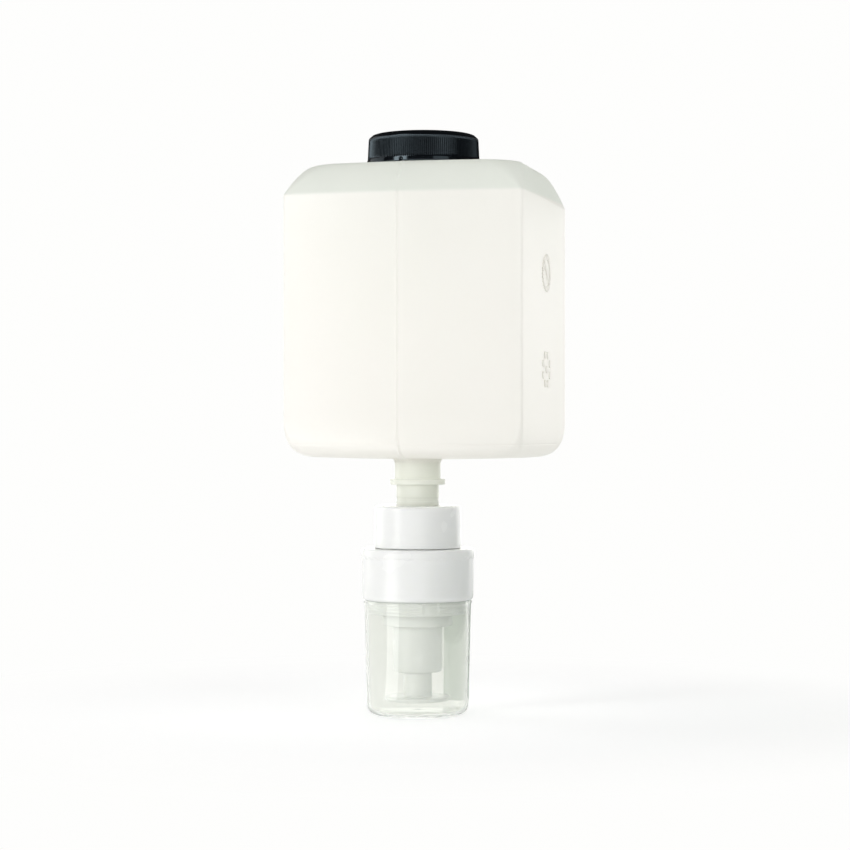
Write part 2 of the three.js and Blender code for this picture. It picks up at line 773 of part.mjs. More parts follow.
// A foam screen: a thin rim with crossing threads of one thickness.
function screen(bottom) {
  const radius = stemBore - seatGap;
  const rim = solid(turned([
    [radius - holderWall, bottom], [radius, bottom], [radius, bottom + screenThickness],
    [radius - holderWall, bottom + screenThickness],
  ], innerFacets));
  const thread = screenPitch - screenOpening;
  const reach = Math.floor((radius - holderWall) / screenPitch);
  const threads = [];
  for (let i = -reach; i <= reach; i += 1) {
    const length = 2 * Math.sqrt(radius ** 2 - (Math.abs(i * screenPitch) + thread / 2) ** 2);
    const inside = length - holderWall;
    const across = new THREE.BoxGeometry(inside, thread, screenThickness);
    across.translate(0, i * screenPitch, bottom + screenThickness / 2);
    const along = new THREE.BoxGeometry(thread, inside, screenThickness);
    along.translate(i * screenPitch, 0, bottom + screenThickness / 2);
    threads.push(solid(across), solid(along));
  }
  return threads.reduce((all, next) => all.add(next), rim);
}

// The clear overcap: a tapered cup with a rolled corner, a thin rim and a gate nub inside.
function overcap() {
  const top = ringBottom - seatGap;
  const taper = (overcapTopRadius - overcapBottomRadius) / (top - overcapCorner);
  const innerTop = overcapTopRadius - overcapWall;
  const innerCorner = overcapCorner - overcapWall;
  const innerLow = innerTop - taper * (top - overcapFloor - innerCorner);
  const outerArc = arc(overcapBottomRadius - overcapCorner, overcapCorner, overcapCorner, -90, 0, 5);
  const innerArc = arc(innerLow - innerCorner, overcapFloor + innerCorner, innerCorner, 0, -90, 4);
  return solid(turned([
    [0, 0], ...outerArc, [overcapTopRadius, top - overcapRimHeight],
    [overcapTopRadius + overcapRim, top - overcapRimHeight + overcapRim],
    [overcapTopRadius + overcapRim, top], [innerTop, top], ...innerArc,
    [gateRadius, overcapFloor], [gateRadius * 0.7, overcapFloor + gateHeight],
    [0, overcapFloor + gateHeight],
  ]));
}

const pack = new THREE.Group();
pack.add(piece('bottle', bottle(), milky));

const filler = new THREE.Group();
filler.position.y = fillerAxisY;
filler.add(piece('filler_cap', fillerCap(), black));
filler.add(piece('cap_liner', capLiner(), white));
pack.add(filler);

const pump = new THREE.Group();
pump.position.y = pumpAxisY;
pump.add(piece('pump_collar', pumpCollar(), white));
pump.add(piece('neck_gasket', neckGasket(), silicone));
pump.add(piece('pump_housing', pumpHousing(), white));
pump.add(piece('inlet_valve', inletValve(), silicone));
pump.add(piece('guide_cover', guideCover(), white));
pump.add(piece('stem', stem(), white));
pump.add(piece('air_piston', airPiston(), white));
pump.add(piece('air_valve', airValve(), silicone));
pump.add(piece('liquid_piston', liquidPiston(), white));
pump.add(piece('outlet_valve', outletValve(), silicone));
pump.add(piece('return_spring', returnSpring(), steel));
pump.add(piece('mesh_holder', meshHolder(), white));
pump.add(piece('screen_upper', screen(holderTop + seatGap), white));
pump.add(piece('screen_lower', screen(holderBottom - seatGap - screenThickness), white));
pump.add(piece('overcap', overcap(), clear));
pack.add(pump);

export default pack;
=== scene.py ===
"""Looks of an inverted soap refill pack: a milky blown bottle, a black screw cap and a foam pump.

Every new surface is a grid or a turned profile worked out with numpy. Sizes are written in
millimetres, as in the part's source, and turned to metres when the mesh is made. The studio
after them is written in metres.
"""

import math

import bpy
import numpy as np
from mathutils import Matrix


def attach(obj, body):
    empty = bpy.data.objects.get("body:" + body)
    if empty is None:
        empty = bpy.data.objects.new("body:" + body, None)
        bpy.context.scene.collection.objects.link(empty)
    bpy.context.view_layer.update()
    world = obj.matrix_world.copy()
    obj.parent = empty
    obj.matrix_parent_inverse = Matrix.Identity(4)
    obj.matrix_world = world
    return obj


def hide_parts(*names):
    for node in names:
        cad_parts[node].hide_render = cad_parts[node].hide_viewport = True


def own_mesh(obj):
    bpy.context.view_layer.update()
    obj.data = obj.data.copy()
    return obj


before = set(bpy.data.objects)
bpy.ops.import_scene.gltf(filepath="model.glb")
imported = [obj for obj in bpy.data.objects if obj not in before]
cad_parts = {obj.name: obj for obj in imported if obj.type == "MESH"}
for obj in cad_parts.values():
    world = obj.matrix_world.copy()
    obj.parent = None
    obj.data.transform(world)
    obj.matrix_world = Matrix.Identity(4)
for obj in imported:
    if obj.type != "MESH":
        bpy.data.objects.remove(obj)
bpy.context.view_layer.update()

MILLIMETRE = 0.001

# Axes of the screw cap and of the pump
FILLER_Y = -6.0
PUMP_Y = -15.5

# Bottle body: its box and corners, and how its two domes draw in
BODY_WIDTH, BODY_DEPTH, FRONT_BOW = 109.0, 87.5, 3.5
BODY_BOTTOM, BODY_TOP = 114.3, 244.7
BOTTOM_SAG, TOP_CROWN = 0.9, 0.4
BACK_FACE = (BODY_DEPTH + FRONT_BOW) / 2
FRONT_EDGE = BACK_FACE - BODY_DEPTH
FRONT_CORNER, BACK_CORNER = 1.6, 5.0
SHOULDER_RISE, BASE_RISE = 14.2, 14.5
SHOULDER_DRAW = {"side": 7.5, "front": 10.0, "back": 11.0, "corner": 17.0, "back_corner": 9.0}
BASE_DRAW = {"side": 8.0, "front": 11.0, "back": 10.0, "corner": 18.0, "back_corner": 18.0}
SHOULDER_CREASE, BASE_CREASE = 0.6, 0.04
REAR_FALL, REAR_FALL_START = 2.0, -19.0

# Witness line of the base insert
WITNESS_LEVEL, WITNESS_DEPTH, WITNESS_WIDTH = 120.2, 0.16, 0.22

# Parting line: its ridge, the valley on its right, where it fades, and the pinched length
SEAM_X, SEAM_HEIGHT, SEAM_WIDTH = -1.1, 0.5, 0.55
VALLEY_AWAY, VALLEY_DEPTH, VALLEY_WIDTH = 1.0, 0.1, 0.3
SEAM_FADE, FADE_START, FADE_END = 0.75, 229.5, 231.5
PINCH_START, PINCH_END = (236.5, 238.0), (241.5, 243.0)
SEAM_COLUMNS = np.array([0.0, 0.16, 0.32, 0.5, 0.75, 1.1, 1.7])

# Moulded marks on the right side
MARK_Y, MARK_RADIUS, MARK_RELIEF, MARK_ROOT = 3.0, 8.5, 0.45, -0.4
TOOTHED_LEVEL, DOTTED_LEVEL = 196.7, 153.6

# Return spring at rest
SPRING_RADIUS, SPRING_WIRE, SPRING_LOW, SPRING_HIGH = 10.6, 0.6, 53.2, 74.55


def make_piece(name, parts, smooth_angle=40.0):
    """One mesh object from several (points, quads, triangles) parts given in millimetres."""
    points, quads, triangles, start = [], [], [], 0
    for part_points, part_quads, part_triangles in parts:
        points.append(part_points)
        quads.append(np.asarray(part_quads, int).reshape(-1, 4) + start)
        triangles.append(np.asarray(part_triangles, int).reshape(-1, 3) + start)
        start += len(part_points)
    points = np.concatenate(points) * MILLIMETRE
    quads, triangles = np.concatenate(quads), np.concatenate(triangles)
    mesh = bpy.data.meshes.new(name)
    mesh.vertices.add(len(points))
    mesh.vertices.foreach_set("co", points.astype(np.float32).ravel())
    loops = np.concatenate([quads.ravel(), triangles.ravel()])
    mesh.loops.add(len(loops))
    mesh.loops.foreach_set("vertex_index", loops.astype(np.int32))
    sizes = np.concatenate([np.full(len(quads), 4), np.full(len(triangles), 3)])
    starts = np.concatenate([[0], np.cumsum(sizes)[:-1]])
    mesh.polygons.add(len(sizes))
    mesh.polygons.foreach_set("loop_start", starts.astype(np.int32))
    mesh.update(calc_edges=True)
    mesh.validate()
    mesh.shade_smooth()
    mesh.set_sharp_from_angle(angle=math.radians(smooth_angle))
    thing = bpy.data.objects.new(name, mesh)
    bpy.context.scene.collection.objects.link(thing)
    return thing


def ring_faces(rows, columns, closed_rows=False):
    """Quads between neighbouring rings of a grid whose columns run once round."""
    last = rows if closed_rows else rows - 1
    row, column = np.meshgrid(np.arange(last), np.arange(columns), indexing="ij")
    above, beside = (row + 1) % rows, (column + 1) % columns
    return np.stack([row * columns + column, row * columns + beside,
                     above * columns + beside, above * columns + column], -1).reshape(-1, 4)


def fan_faces(first, columns, middle, upward):
    """Triangles from one ring to a middle point, facing up or down."""
    column = np.arange(columns)
    beside = (column + 1) % columns
    faces = [np.full(columns, middle), first + column, first + beside]
    if not upward:
        faces = [faces[0], faces[2], faces[1]]
    return np.stack(faces, -1)


def end_fans(count, columns):
    """Triangles that close a grid of so many points to the two middle points that follow it."""
    return np.concatenate([
        fan_faces(0, columns, count, upward=False),
        fan_faces(count - columns, columns, count + 1, upward=True),
    ])


def eased_corners(corners, steps):
    """A polyline whose corners (radius, height, easing) turn along a quadratic curve.

    Each curve starts and ends the easing length away from its corner, on the two lines that
    meet there, and has the corner as its control point.
    """
    path = []
    for before, here, after in zip(corners[-1:] + corners[:-1], corners, corners[1:] + corners[:1]):
        place = np.array(here[:2], float)
        ease = here[2] if len(here) > 2 else 0.0
        if ease <= 0:
            path.append(place)
            continue
        back, ahead = np.array(before[:2]) - place, np.array(after[:2]) - place
        start = place + back * min(ease / np.linalg.norm(back), 0.5)
        end = place + ahead * min(ease / np.linalg.norm(ahead), 0.5)
        for share in np.linspace(0, 1, steps):
            rest = 1 - share
            path.append(rest ** 2 * start + 2 * share * rest * place + share ** 2 * end)
    return np.array(path)


def turned(corners, axis_y, columns, steps=5, radial=None):
    """A closed body of revolution about the upright line x = 0, y = axis_y.

    Point (i, j) is (r_i cos a_j, axis_y + r_i sin a_j, z_i) along the eased profile, which
    runs counter-clockwise and either closes on itself or begins and ends on the axis. A radial
    function of (radius, height, angle) gives each point's own radius.
    """
    profile = eased_corners(corners, steps)
    on_axis = profile[0][0] < 1e-9 and profile[-1][0] < 1e-9
    rings = profile[1:-1] if on_axis else profile
    angle = np.linspace(0, 2 * np.pi, columns, endpoint=False)
    radius = np.repeat(rings[:, 0][:, None], columns, 1)
    height = np.repeat(rings[:, 1][:, None], columns, 1)
    turn = np.repeat(angle[None], len(rings), 0)
    if radial is not None:
        radius = radial(radius, height, turn)
    points = np.stack([radius * np.cos(turn), axis_y + radius * np.sin(turn), height], -1)
    points = points.reshape(-1, 3)
    quads = ring_faces(len(rings), columns, closed_rows=not on_axis)
    triangles = np.zeros((0, 3), int)
    if on_axis:
        triangles = end_fans(len(points), columns)
        ends = np.array([[0, axis_y, profile[0][1]], [0, axis_y, profile[-1][1]]])
        points = np.concatenate([points, ends])
    return points, quads, triangles


def dome_path(crease, ease):
    """Draw-in share and rise share along a dome, softened where it leaves the upright wall.

    Draw = 2 s (1 - s) crease + s^2 and rise = 1 - (1 - s)^2 for s from 0 to 1. A run of upright
    wall goes before it. Both are averaged with a bell of the easing's width, and the averaged
    values give way to the plain ones further along the dome.
    """
    samples, wall, fade_run = 120, 40, 30
    share = np.linspace(0, 1, samples)
    draw = 2 * share * (1 - share) * crease + share ** 2
    rise = 1 - (1 - share) ** 2
    step = rise[1] - rise[0]
    draw = np.concatenate([np.zeros(wall), draw])
    rise = np.concatenate([-step * np.arange(wall, 0, -1), rise])
    pad = 3 * int(ease)
    bell = np.exp(-0.5 * (np.arange(-pad, pad + 1) / ease) ** 2)
    bell /= bell.sum()

    def soften(values):
        """The bell's running average, with the values carried on straight at both ends."""
        before = values[0] + (values[1] - values[0]) * np.arange(-pad, 0)
        after = values[-1] + (values[-1] - values[-2]) * np.arange(1, pad + 1)
        return np.convolve(np.concatenate([before, values, after]), bell, "valid")

    fade = np.clip((np.arange(len(draw)) - wall) / fade_run - 0.5, 0, 1)
    return soften(draw) * (1 - fade) + draw * fade, soften(rise) * (1 - fade) + rise * fade


def smooth_step(value, low, high):
    """3 t^2 - 2 t^3 of the value's place between low and high."""
    t = np.clip((value - low) / (high - low), 0, 1)
    return t * t * (3 - 2 * t)


def across_line(reach, count):
    """Places across the body from left to right, close together beside the parting line.

    Its middle lies at SEAM_X, and the shift fades evenly to nothing at both ends.
    """
    near = np.broadcast_to(SEAM_COLUMNS, (len(reach), len(SEAM_COLUMNS)))
    start = SEAM_COLUMNS[-1]
    right = np.concatenate([near, start + (reach - start) * np.linspace(0, 1, count)[1:-1]], 1)
    across = np.concatenate([-right[:, :0:-1], right], 1)
    return across + SEAM_X * (1 - np.abs(across) / reach)


def body_rows(level, share, draws):
    """Level outlines of the body, one row for each level, as points on a grid.

    Each row is a rounded rectangle: a bowed front, four round corners and straight sides. Its
    sides draw in by the given lengths times the share, and its corners grow with it. Behind
    REAR_FALL_START a row slopes evenly down to the back, the more the higher it lies.
    """
    level, share = level[:, None], share[:, None]
    half = BODY_WIDTH / 2 - draws["side"] * share
    front = FRONT_EDGE + draws["front"] * share
    back = BACK_FACE - draws["back"] * share
    front_corner = FRONT_CORNER + draws["corner"] * share
    back_corner = BACK_CORNER + draws["back_corner"] * share
    front_reach, back_reach = half - front_corner, half - back_corner
    side_start, side_end = front + front_corner, back - back_corner

    def at_level(x, y):
        """The points (x, y), with each row at its own level."""
        x, y = np.broadcast_arrays(x, y)
        return np.stack([x, y, np.broadcast_to(level, x.shape)], -1)

    def corner(centre_x, centre_y, radius, start, steps):
        """A quarter of a circle, anticlockwise from the start angle."""
        angle = np.radians(np.linspace(start, start + 90, steps))[None]
        return at_level(centre_x + radius * np.cos(angle), centre_y + radius * np.sin(angle))

    def straight(x, from_y, to_y, count=10):
        """The points of a side, without its two ends."""
        along = np.linspace(0, 1, count + 2)[None, 1:-1]
        return at_level(x, from_y + (to_y - from_y) * along)

    across = across_line(front_reach, 26)
    place = (across + front_reach) / (2 * front_reach)
    bow = 2 * FRONT_BOW * (1 - share / 2)
    rows = np.concatenate([
        at_level(across, front - 2 * place * (1 - place) * bow),
        corner(front_reach, side_start, front_corner, -90, 12),
        straight(half, side_start, side_end),
        corner(back_reach, side_end, back_corner, 0, 14),
        at_level(across_line(back_reach, 12)[:, ::-1], back),
        corner(-back_reach, side_end, back_corner, 90, 14),
        straight(-half, side_end, side_start),
        corner(-front_reach, side_start, front_corner, 180, 12),
    ], 1)
    behind = np.maximum(0, rows[..., 1] - REAR_FALL_START) / (BACK_FACE - REAR_FALL_START)
    fall = smooth_step(rows[..., 2], BODY_BOTTOM + BASE_RISE, BODY_TOP - SHOULDER_RISE)
    rows[..., 2] -= REAR_FALL * behind * fall
    return rows


def grid_normals(rows):
    """Unit normals of a grid whose columns run round, from central differences."""
    along = np.roll(rows, -1, 1) - np.roll(rows, 1, 1)
    up = np.gradient(rows, axis=0)
    normal = np.cross(along, up)
    return normal / np.maximum(np.linalg.norm(normal, axis=-1, keepdims=True), 1e-9)


def parting_ridge(x, z):
    """Height of the parting line's ridge, with a shallow valley on its right.

    Both are bells of the distance from their middle. On the shoulder the ridge keeps a quarter
    of its height, but for a pinched length, which keeps all of it.
    """
    away = x - SEAM_X
    ridge = SEAM_HEIGHT * np.exp(-(away / SEAM_WIDTH) ** 2) \
        - VALLEY_DEPTH * np.exp(-((away - VALLEY_AWAY) / VALLEY_WIDTH) ** 2)
    pinched = smooth_step(z, *PINCH_START) * (1 - smooth_step(z, *PINCH_END))
    return ridge * (1 - smooth_step(z, FADE_START, FADE_END) * SEAM_FADE * (1 - pinched))


def closing_rings(ring, centre, shift):
    """Rings that shrink from an end ring towards its centre.

    Each is moved up by the shift times 1 - share^2, which makes a shallow dish or crown.
    """
    share = np.array([0.9, 0.75, 0.55, 0.35, 0.15])
    rings = centre + (ring[None] - centre) * share[:, None, None]
    rings[..., 2] += shift * (1 - share[:, None] ** 2)
    return rings


def body_skin():
    """The blown body: base dome, upright wall and shoulder dome in one grid, both ends closed.

    The parting ridge and the witness groove are heights laid along the grid's own normals. The
    groove is a bell of the distance from its level.
    """
    base_count, wall_count, shoulder_count = 46, 30, 80
    beside_witness, wall_gap = 0.9, 2.0
    draw, rise = dome_path(BASE_CREASE, ease=5.0)
    base_level = BODY_BOTTOM + BASE_RISE * (1 - rise)
    order = np.argsort(base_level)
    base_level, draw = base_level[order], draw[order]
    pick = np.unique(np.concatenate([
        np.linspace(0, len(base_level) - 1, base_count).astype(int),
        np.where(np.abs(base_level - WITNESS_LEVEL) < beside_witness)[0],
    ]))
    base = body_rows(base_level[pick], draw[pick], BASE_DRAW)
    draw, rise = dome_path(SHOULDER_CREASE, ease=1.5)
    top_level = BODY_TOP - SHOULDER_RISE + SHOULDER_RISE * rise
    pick = np.unique(np.linspace(0, len(top_level) - 1, shoulder_count).astype(int))
    shoulder = body_rows(top_level[pick], draw[pick], SHOULDER_DRAW)
    wall_level = np.linspace(base_level.max() + wall_gap, top_level.min() - wall_gap, wall_count)
    wall = body_rows(wall_level, np.zeros(wall_count), BASE_DRAW)
    rows = np.concatenate([base, wall, shoulder])

    x, z = rows[..., 0], rows[..., 2]
    groove = WITNESS_DEPTH * np.exp(-((z - WITNESS_LEVEL) / WITNESS_WIDTH) ** 2)
    rows = rows + grid_normals(rows) * (parting_ridge(x, z) - groove)[..., None]

    low_centre = (rows[0].min(0) + rows[0].max(0)) / 2
    low_centre[2] = rows[0][:, 2].mean()
    high_centre = (rows[-1].min(0) + rows[-1].max(0)) / 2
    high_centre[2] = rows[-1][0, 2]
    grid = np.concatenate([closing_rings(rows[0], low_centre, -BOTTOM_SAG)[::-1], rows,
                           closing_rings(rows[-1], high_centre, TOP_CROWN)])
    points, columns = grid.reshape(-1, 3), grid.shape[1]
    ends = np.array([low_centre - [0, 0, BOTTOM_SAG], high_centre + [0, 0, TOP_CROWN]])
    return (np.concatenate([points, ends]), ring_faces(len(grid), columns),
            end_fans(len(points), columns))


def on_right_side(part, level):
    """Turns a relief drawn about the Z axis to lie on the body's right side at a level."""
    points, quads, triangles = part
    x, y, z = points.T
    placed = np.stack([BODY_WIDTH / 2 + z, MARK_Y + x, level + y], -1)
    return placed, quads, triangles


def toothed_ring():
    """A low ring with 24 rounded teeth: its outside follows a flattened cosine of 24 a."""
    count, tooth = 24, 0.45
    inner, outer = MARK_RADIUS * 0.7, MARK_RADIUS - tooth

    def teeth(radius, height, angle):
        """The radius with the teeth, which grow from the inner to the outer edge."""
        outside = smooth_step(radius, inner + 0.5, outer)
        return radius + outside * tooth * np.tanh(1.6 * np.cos(count * angle))

    return turned([(inner, MARK_ROOT), (outer, MARK_ROOT), (outer, MARK_RELIEF, 0.18),
                   (inner, MARK_RELIEF, 0.18)], 0.0, columns=192, steps=3, radial=teeth)


def mark_bar():
    """A slanted bar across the toothed ring, with bevelled upper edges."""
    half_width, reach, bevel, slant = 0.75, MARK_RADIUS * 0.78, 0.15, math.radians(-45)
    corners = np.array([[-reach, -half_width], [reach, -half_width],
                        [reach, half_width], [-reach, half_width]])
    inset = corners * np.array([1 - bevel / reach, 1 - bevel / half_width])
    layers = [(corners, MARK_ROOT), (corners, MARK_RELIEF - bevel), (inset, MARK_RELIEF)]
    rows = np.array([np.column_stack([c, np.full(4, z)]) for c, z in layers])
    spin = np.array([[math.cos(slant), math.sin(slant)], [-math.sin(slant), math.cos(slant)]])
    rows[..., :2] = rows[..., :2] @ spin
    quads = np.concatenate([ring_faces(3, 4), [[8, 9, 10, 11], [3, 2, 1, 0]]])
    return rows.reshape(-1, 3), quads, np.zeros((0, 3), int)


def mark_dots():
    """Nine low round dots: eight on a circle about a middle one, each a small turned dome."""
    radius = MARK_RADIUS * 0.2
    circle = MARK_RADIUS - radius
    dot = turned([(0, MARK_ROOT), (radius, MARK_ROOT), (radius, MARK_RELIEF, 0.2),
                  (0, MARK_RELIEF)], 0.0, columns=28, steps=4)
    turns = (np.arange(8) + 0.5) * np.pi / 4
    places = [(0.0, 0.0)] + [(circle * math.cos(t), circle * math.sin(t)) for t in turns]
    return [(dot[0] + [x, y, 0], dot[1], dot[2]) for x, y in places]


def filler_neck():
    """The threaded neck under the screw cap.

    The thread is a ridge on the turned neck: its height falls off as a bell with the distance
    from the helix z = start + pitch a / (2 pi), and it runs out at its two ends.
    """
    root, top, bore, outer = BODY_TOP - 3.0, 256.4, 19.0, 20.6
    start, pitch, crest, crest_width = 248.6, 4.2, 0.9, 0.7
    thread_low, thread_high, run_out = 247.4, 255.4, 0.8

    def thread(radius, height, angle):
        """The radius with the thread on the outer wall."""
        phase = (height - start) / pitch - angle / (2 * np.pi)
        away = (phase - np.round(phase)) * pitch
        full = np.clip((height - thread_low) / run_out, 0, 1) \
            * np.clip((thread_high - height) / run_out, 0, 1)
        ridge = crest * np.exp(-(away / crest_width) ** 2) * full
        return radius + np.where(radius > outer - 0.01, ridge, 0)

    side = [(outer, z) for z in np.linspace(root + 0.4, top - 0.5, 44)]
    return turned([(bore, root), (outer, root), *side, (outer, top, 0.3), (bore, top, 0.3)],
                  FILLER_Y, columns=112, steps=3, radial=thread)


def outlet_neck():
    """The outlet neck below the body: eased root, transfer flange and end, turned in one."""
    return turned([
        (7.9, 78.0), (9.5, 78.0, 0.3), (9.5, 94.6, 0.5), (9.25, 95.2, 0.3), (9.25, 96.2, 0.3),
        (9.5, 96.8, 0.4), (9.5, 102.3, 0.3), (12.3, 102.3, 0.35), (12.3, 104.75, 0.5),
        (10.2, 104.75, 0.5), (10.2, 112.2, 0.6), (11.2, 114.0, 1.0), (13.0, 114.7),
        (13.0, 116.0), (7.9, 116.0),
    ], PUMP_Y, columns=128)


def make_bottle():
    """The bottle with its two necks and the two moulded marks."""
    parts = [body_skin(), filler_neck(), outlet_neck(),
             on_right_side(toothed_ring(), TOOTHED_LEVEL),
             on_right_side(mark_bar(), TOOTHED_LEVEL)]
    parts += [on_right_side(dot, DOTTED_LEVEL) for dot in mark_dots()]
    return make_piece("bottle_skin", parts, 50.0)


def make_filler_cap():
    """The black screw cap: a plain lower band with a notch, 170 fine ribs and a stepped top.

    In the ribbed band the radius goes in and out as a flattened cosine of 170 times the angle.
    The notch is a round hollow, whose depth falls off as exp(-d^4) of the distance d.
    """
    ribs, rib_low, rib_high, rib_depth, flatness = 170, 247.6, 256.6, 0.55, 1.5
    notch_angle, notch_level, notch_depth, notch_reach = math.radians(262.7), 246.2, 0.9, 25.3

    def ribbed(radius, height, angle):
        """The radius with the ribs and the notch on the outside."""
        band = smooth_step(height, rib_low, rib_low + 0.5) \
            * (1 - smooth_step(height, rib_high - 0.6, rib_high))
        wave = 0.5 - 0.5 * np.tanh(flatness * np.cos(ribs * angle)) / math.tanh(flatness)
        away = ((angle - notch_angle) * notch_reach) ** 2 + (height - notch_level) ** 2
        notch = notch_depth * np.exp(-(away / 0.5) ** 2) * (radius > 25.0)
        return radius - np.where(radius > 23.9, rib_depth * band * wave, 0) - notch

    band = [(25.35, z) for z in np.linspace(245.7, 247.2, 8)]
    flank = [(25.15 - 0.45 * (z - rib_low) / (rib_high - rib_low), z)
             for z in np.linspace(rib_low, rib_high, 16)]
    body = turned([
        (0, 258.0), (21.8, 258.0, 0.4), (21.8, 245.2, 0.2), (25.3, 245.2, 0.5),
        *band, *flank, (24.6, 257.15, 0.45), (23.7, 258.0, 0.3),
        (23.35, 258.1, 0.1), (23.2, 258.5, 0.2), (21.8, 259.0, 0.6), (0, 259.4),
    ], FILLER_Y, columns=ribs * 8, steps=4, radial=ribbed)
    return make_piece("filler_cap_ribbed", [body], 60.0)


def make_collar():
    """The white collar with its inner tube, turned with eased outer corners."""
    return make_piece("collar", [turned([
        (10.0, 78.9), (11.33, 78.9, 0.2), (11.33, 91.0), (18.0, 91.0), (18.0, 74.2),
        (19.33, 74.2, 0.3), (19.4, 76.0, 0.6), (19.28, 90.0, 0.8), (19.2, 92.9, 1.5),
        (10.0, 92.9, 0.5),
    ], PUMP_Y, columns=160, steps=7)])


def make_housing():
    """The pump housing: the wide ring with its lip, and both cylinders inside.

    Under the lip stand 34 low scallops. They follow the crests of cos(34 a), cut off level.
    """
    scallops, scallop_height, scallop_low = 34, 0.24, 69.3

    def scalloped(radius, height, angle):
        """The radius with the scallops, which grow upwards to the lip."""
        under_lip = (radius > 24.9) & (height > scallop_low) & (height < 70.3)
        crest = 0.5 + 0.5 * np.cos(scallops * angle)
        growth = smooth_step(height, scallop_low, 70.2)
        bump = scallop_height * np.minimum(1, 1.6 * growth * crest)
        return radius + np.where(under_lip, bump, 0)

    lip = [(25.02, z) for z in (69.2, 69.5, 69.8, 70.05, 70.25)]
    return make_piece("housing", [turned([
        (0, 89.0), (5.2, 89.0), (5.2, 74.9), (16.4, 74.9), (16.4, 46.5), (17.7, 46.5),
        (17.7, 72.3), (22.9, 72.3), (22.9, 51.2), (24.2, 51.2, 0.3), (24.85, 52.6, 0.8),
        *lip, (25.28, 70.5, 0.2), (25.3, 73.0, 0.5),
        (25.0, 73.9, 0.5), (17.7, 73.9), (17.7, 76.5), (6.6, 76.5), (6.6, 90.4), (0, 90.4),
    ], PUMP_Y, columns=340, steps=5, radial=scalloped)])


def make_guide_cover():
    """The stepped cover: beaded spigot, shallow step and the sleeve with its eased end.

    Two small upright tabs stand on the spigot, and its beads stop between them. A tab's height
    falls off as exp(-d^4) of the distance d along the spigot.
    """
    spigot, tab_height, tab_width, run_out = 21.8, 0.35, 0.7, 0.03
    first_tab, last_tab = np.radians([291.0, 311.0])

    def tabbed(radius, height, angle):
        """The radius with the tabs, and without the beads between them."""
        on_spigot = (radius > 21.6) & (height > 45.4) & (height < 51.5)
        between = smooth_step(angle, first_tab - run_out, first_tab) \
            * (1 - smooth_step(angle, last_tab, last_tab + run_out))
        plain = spigot + (radius - spigot) * (1 - between)
        tabs = sum(np.exp(-((angle - tab) * spigot / tab_width) ** 4)
                   for tab in (first_tab, last_tab))
        tall = smooth_step(height, 45.6, 46.4) * (1 - smooth_step(height, 50.2, 51.2))
        return np.where(on_spigot, plain + tab_height * tabs * tall, radius)

    beads = []
    for level in (46.6, 48.3, 50.0):
        beads += [(spigot, level - 0.6, 0.1), (22.15, level, 0.2), (spigot, level + 0.6, 0.1)]
    return make_piece("guide_cover_turned", [turned([
        (6.65, 18.8, 0.2), (11.05, 18.8, 2.4), (11.05, 39.5, 0.3), (15.6, 39.5, 0.8),
        (15.6, 44.8, 0.3), (spigot, 44.8, 1.2), *beads, (spigot, 56.0), (22.6, 56.4),
        (22.6, 57.4), (20.4, 57.4), (20.4, 46.2), (14.2, 46.2), (14.2, 40.9), (9.75, 40.9),
        (9.75, 20.6), (7.95, 20.6), (7.95, 29.8), (6.65, 29.8),
    ], PUMP_Y, columns=360, steps=7, radial=tabbed)])


def make_stem():
    """The discharge stem with its foot disc and outlet tip."""
    return make_piece("stem_turned", [turned([
        (3.4, 5.2), (4.6, 5.2, 0.3), (4.6, 6.3, 0.2), (14.4, 6.3, 0.7), (14.4, 8.1, 0.7),
        (6.35, 8.1, 0.6), (6.35, 53.0), (4.9, 53.0), (4.9, 15.0), (3.4, 15.0),
    ], PUMP_Y, columns=128, steps=7)])


def make_spring():
    """The return spring: a round wire along a helix with one nearly closed turn at each end.

    The centre line is (R cos a, axis_y + R sin a, z(a)), where z rises slowly over the end turns
    and evenly between them. The wire's rings stand square to the line's tangent.
    """
    turns, steps_per_turn, facets = 6.5, 32, 10
    turn = np.linspace(0, turns, int(turns * steps_per_turn) + 1)
    end_rise = 2 * SPRING_WIRE + 0.1
    low, high = SPRING_LOW + SPRING_WIRE, SPRING_HIGH - SPRING_WIRE
    open_run = high - low - 2 * end_rise
    level = low + np.minimum(turn, 1) * end_rise \
        + open_run * np.clip((turn - 1) / (turns - 2), 0, 1) \
        + np.maximum(0, turn - turns + 1) * end_rise
    angle = 2 * np.pi * turn
    outward = np.stack([np.cos(angle), np.sin(angle), np.zeros_like(angle)], -1)
    line = SPRING_RADIUS * outward
    line[:, 1] += PUMP_Y
    line[:, 2] = level
    tangent = np.gradient(line, axis=0)
    tangent /= np.linalg.norm(tangent, axis=1, keepdims=True)
    across = np.cross(tangent, outward)
    around = np.linspace(0, 2 * np.pi, facets, endpoint=False)[None, :, None]
    ring = np.cos(around) * outward[:, None] + np.sin(around) * across[:, None]
    wire = (line[:, None] + SPRING_WIRE * ring).reshape(-1, 3)
    return make_piece("spring_coiled", [(np.concatenate([wire, line[[0, -1]]]),
                                         ring_faces(len(line), facets),
                                         end_fans(len(wire), facets))])


def make_overcap():
    """The clear overcap: tapered wall, eased corner, thickened rim and the gate nub inside."""
    return make_piece("overcap_clear", [turned([
        (0, 0.25), (1.2, 0.25, 0.4), (2.2, 0.0, 0.4), (22.6, 0.0, 5.0), (23.75, 49.3, 0.3),
        (24.1, 49.65, 0.3), (24.1, 50.9, 0.3), (22.45, 50.9, 0.3), (21.33, 1.5, 3.6),
        (1.5, 1.5, 0.4), (1.1, 2.0, 0.4), (0, 2.0),
    ], PUMP_Y, columns=256, steps=14)])


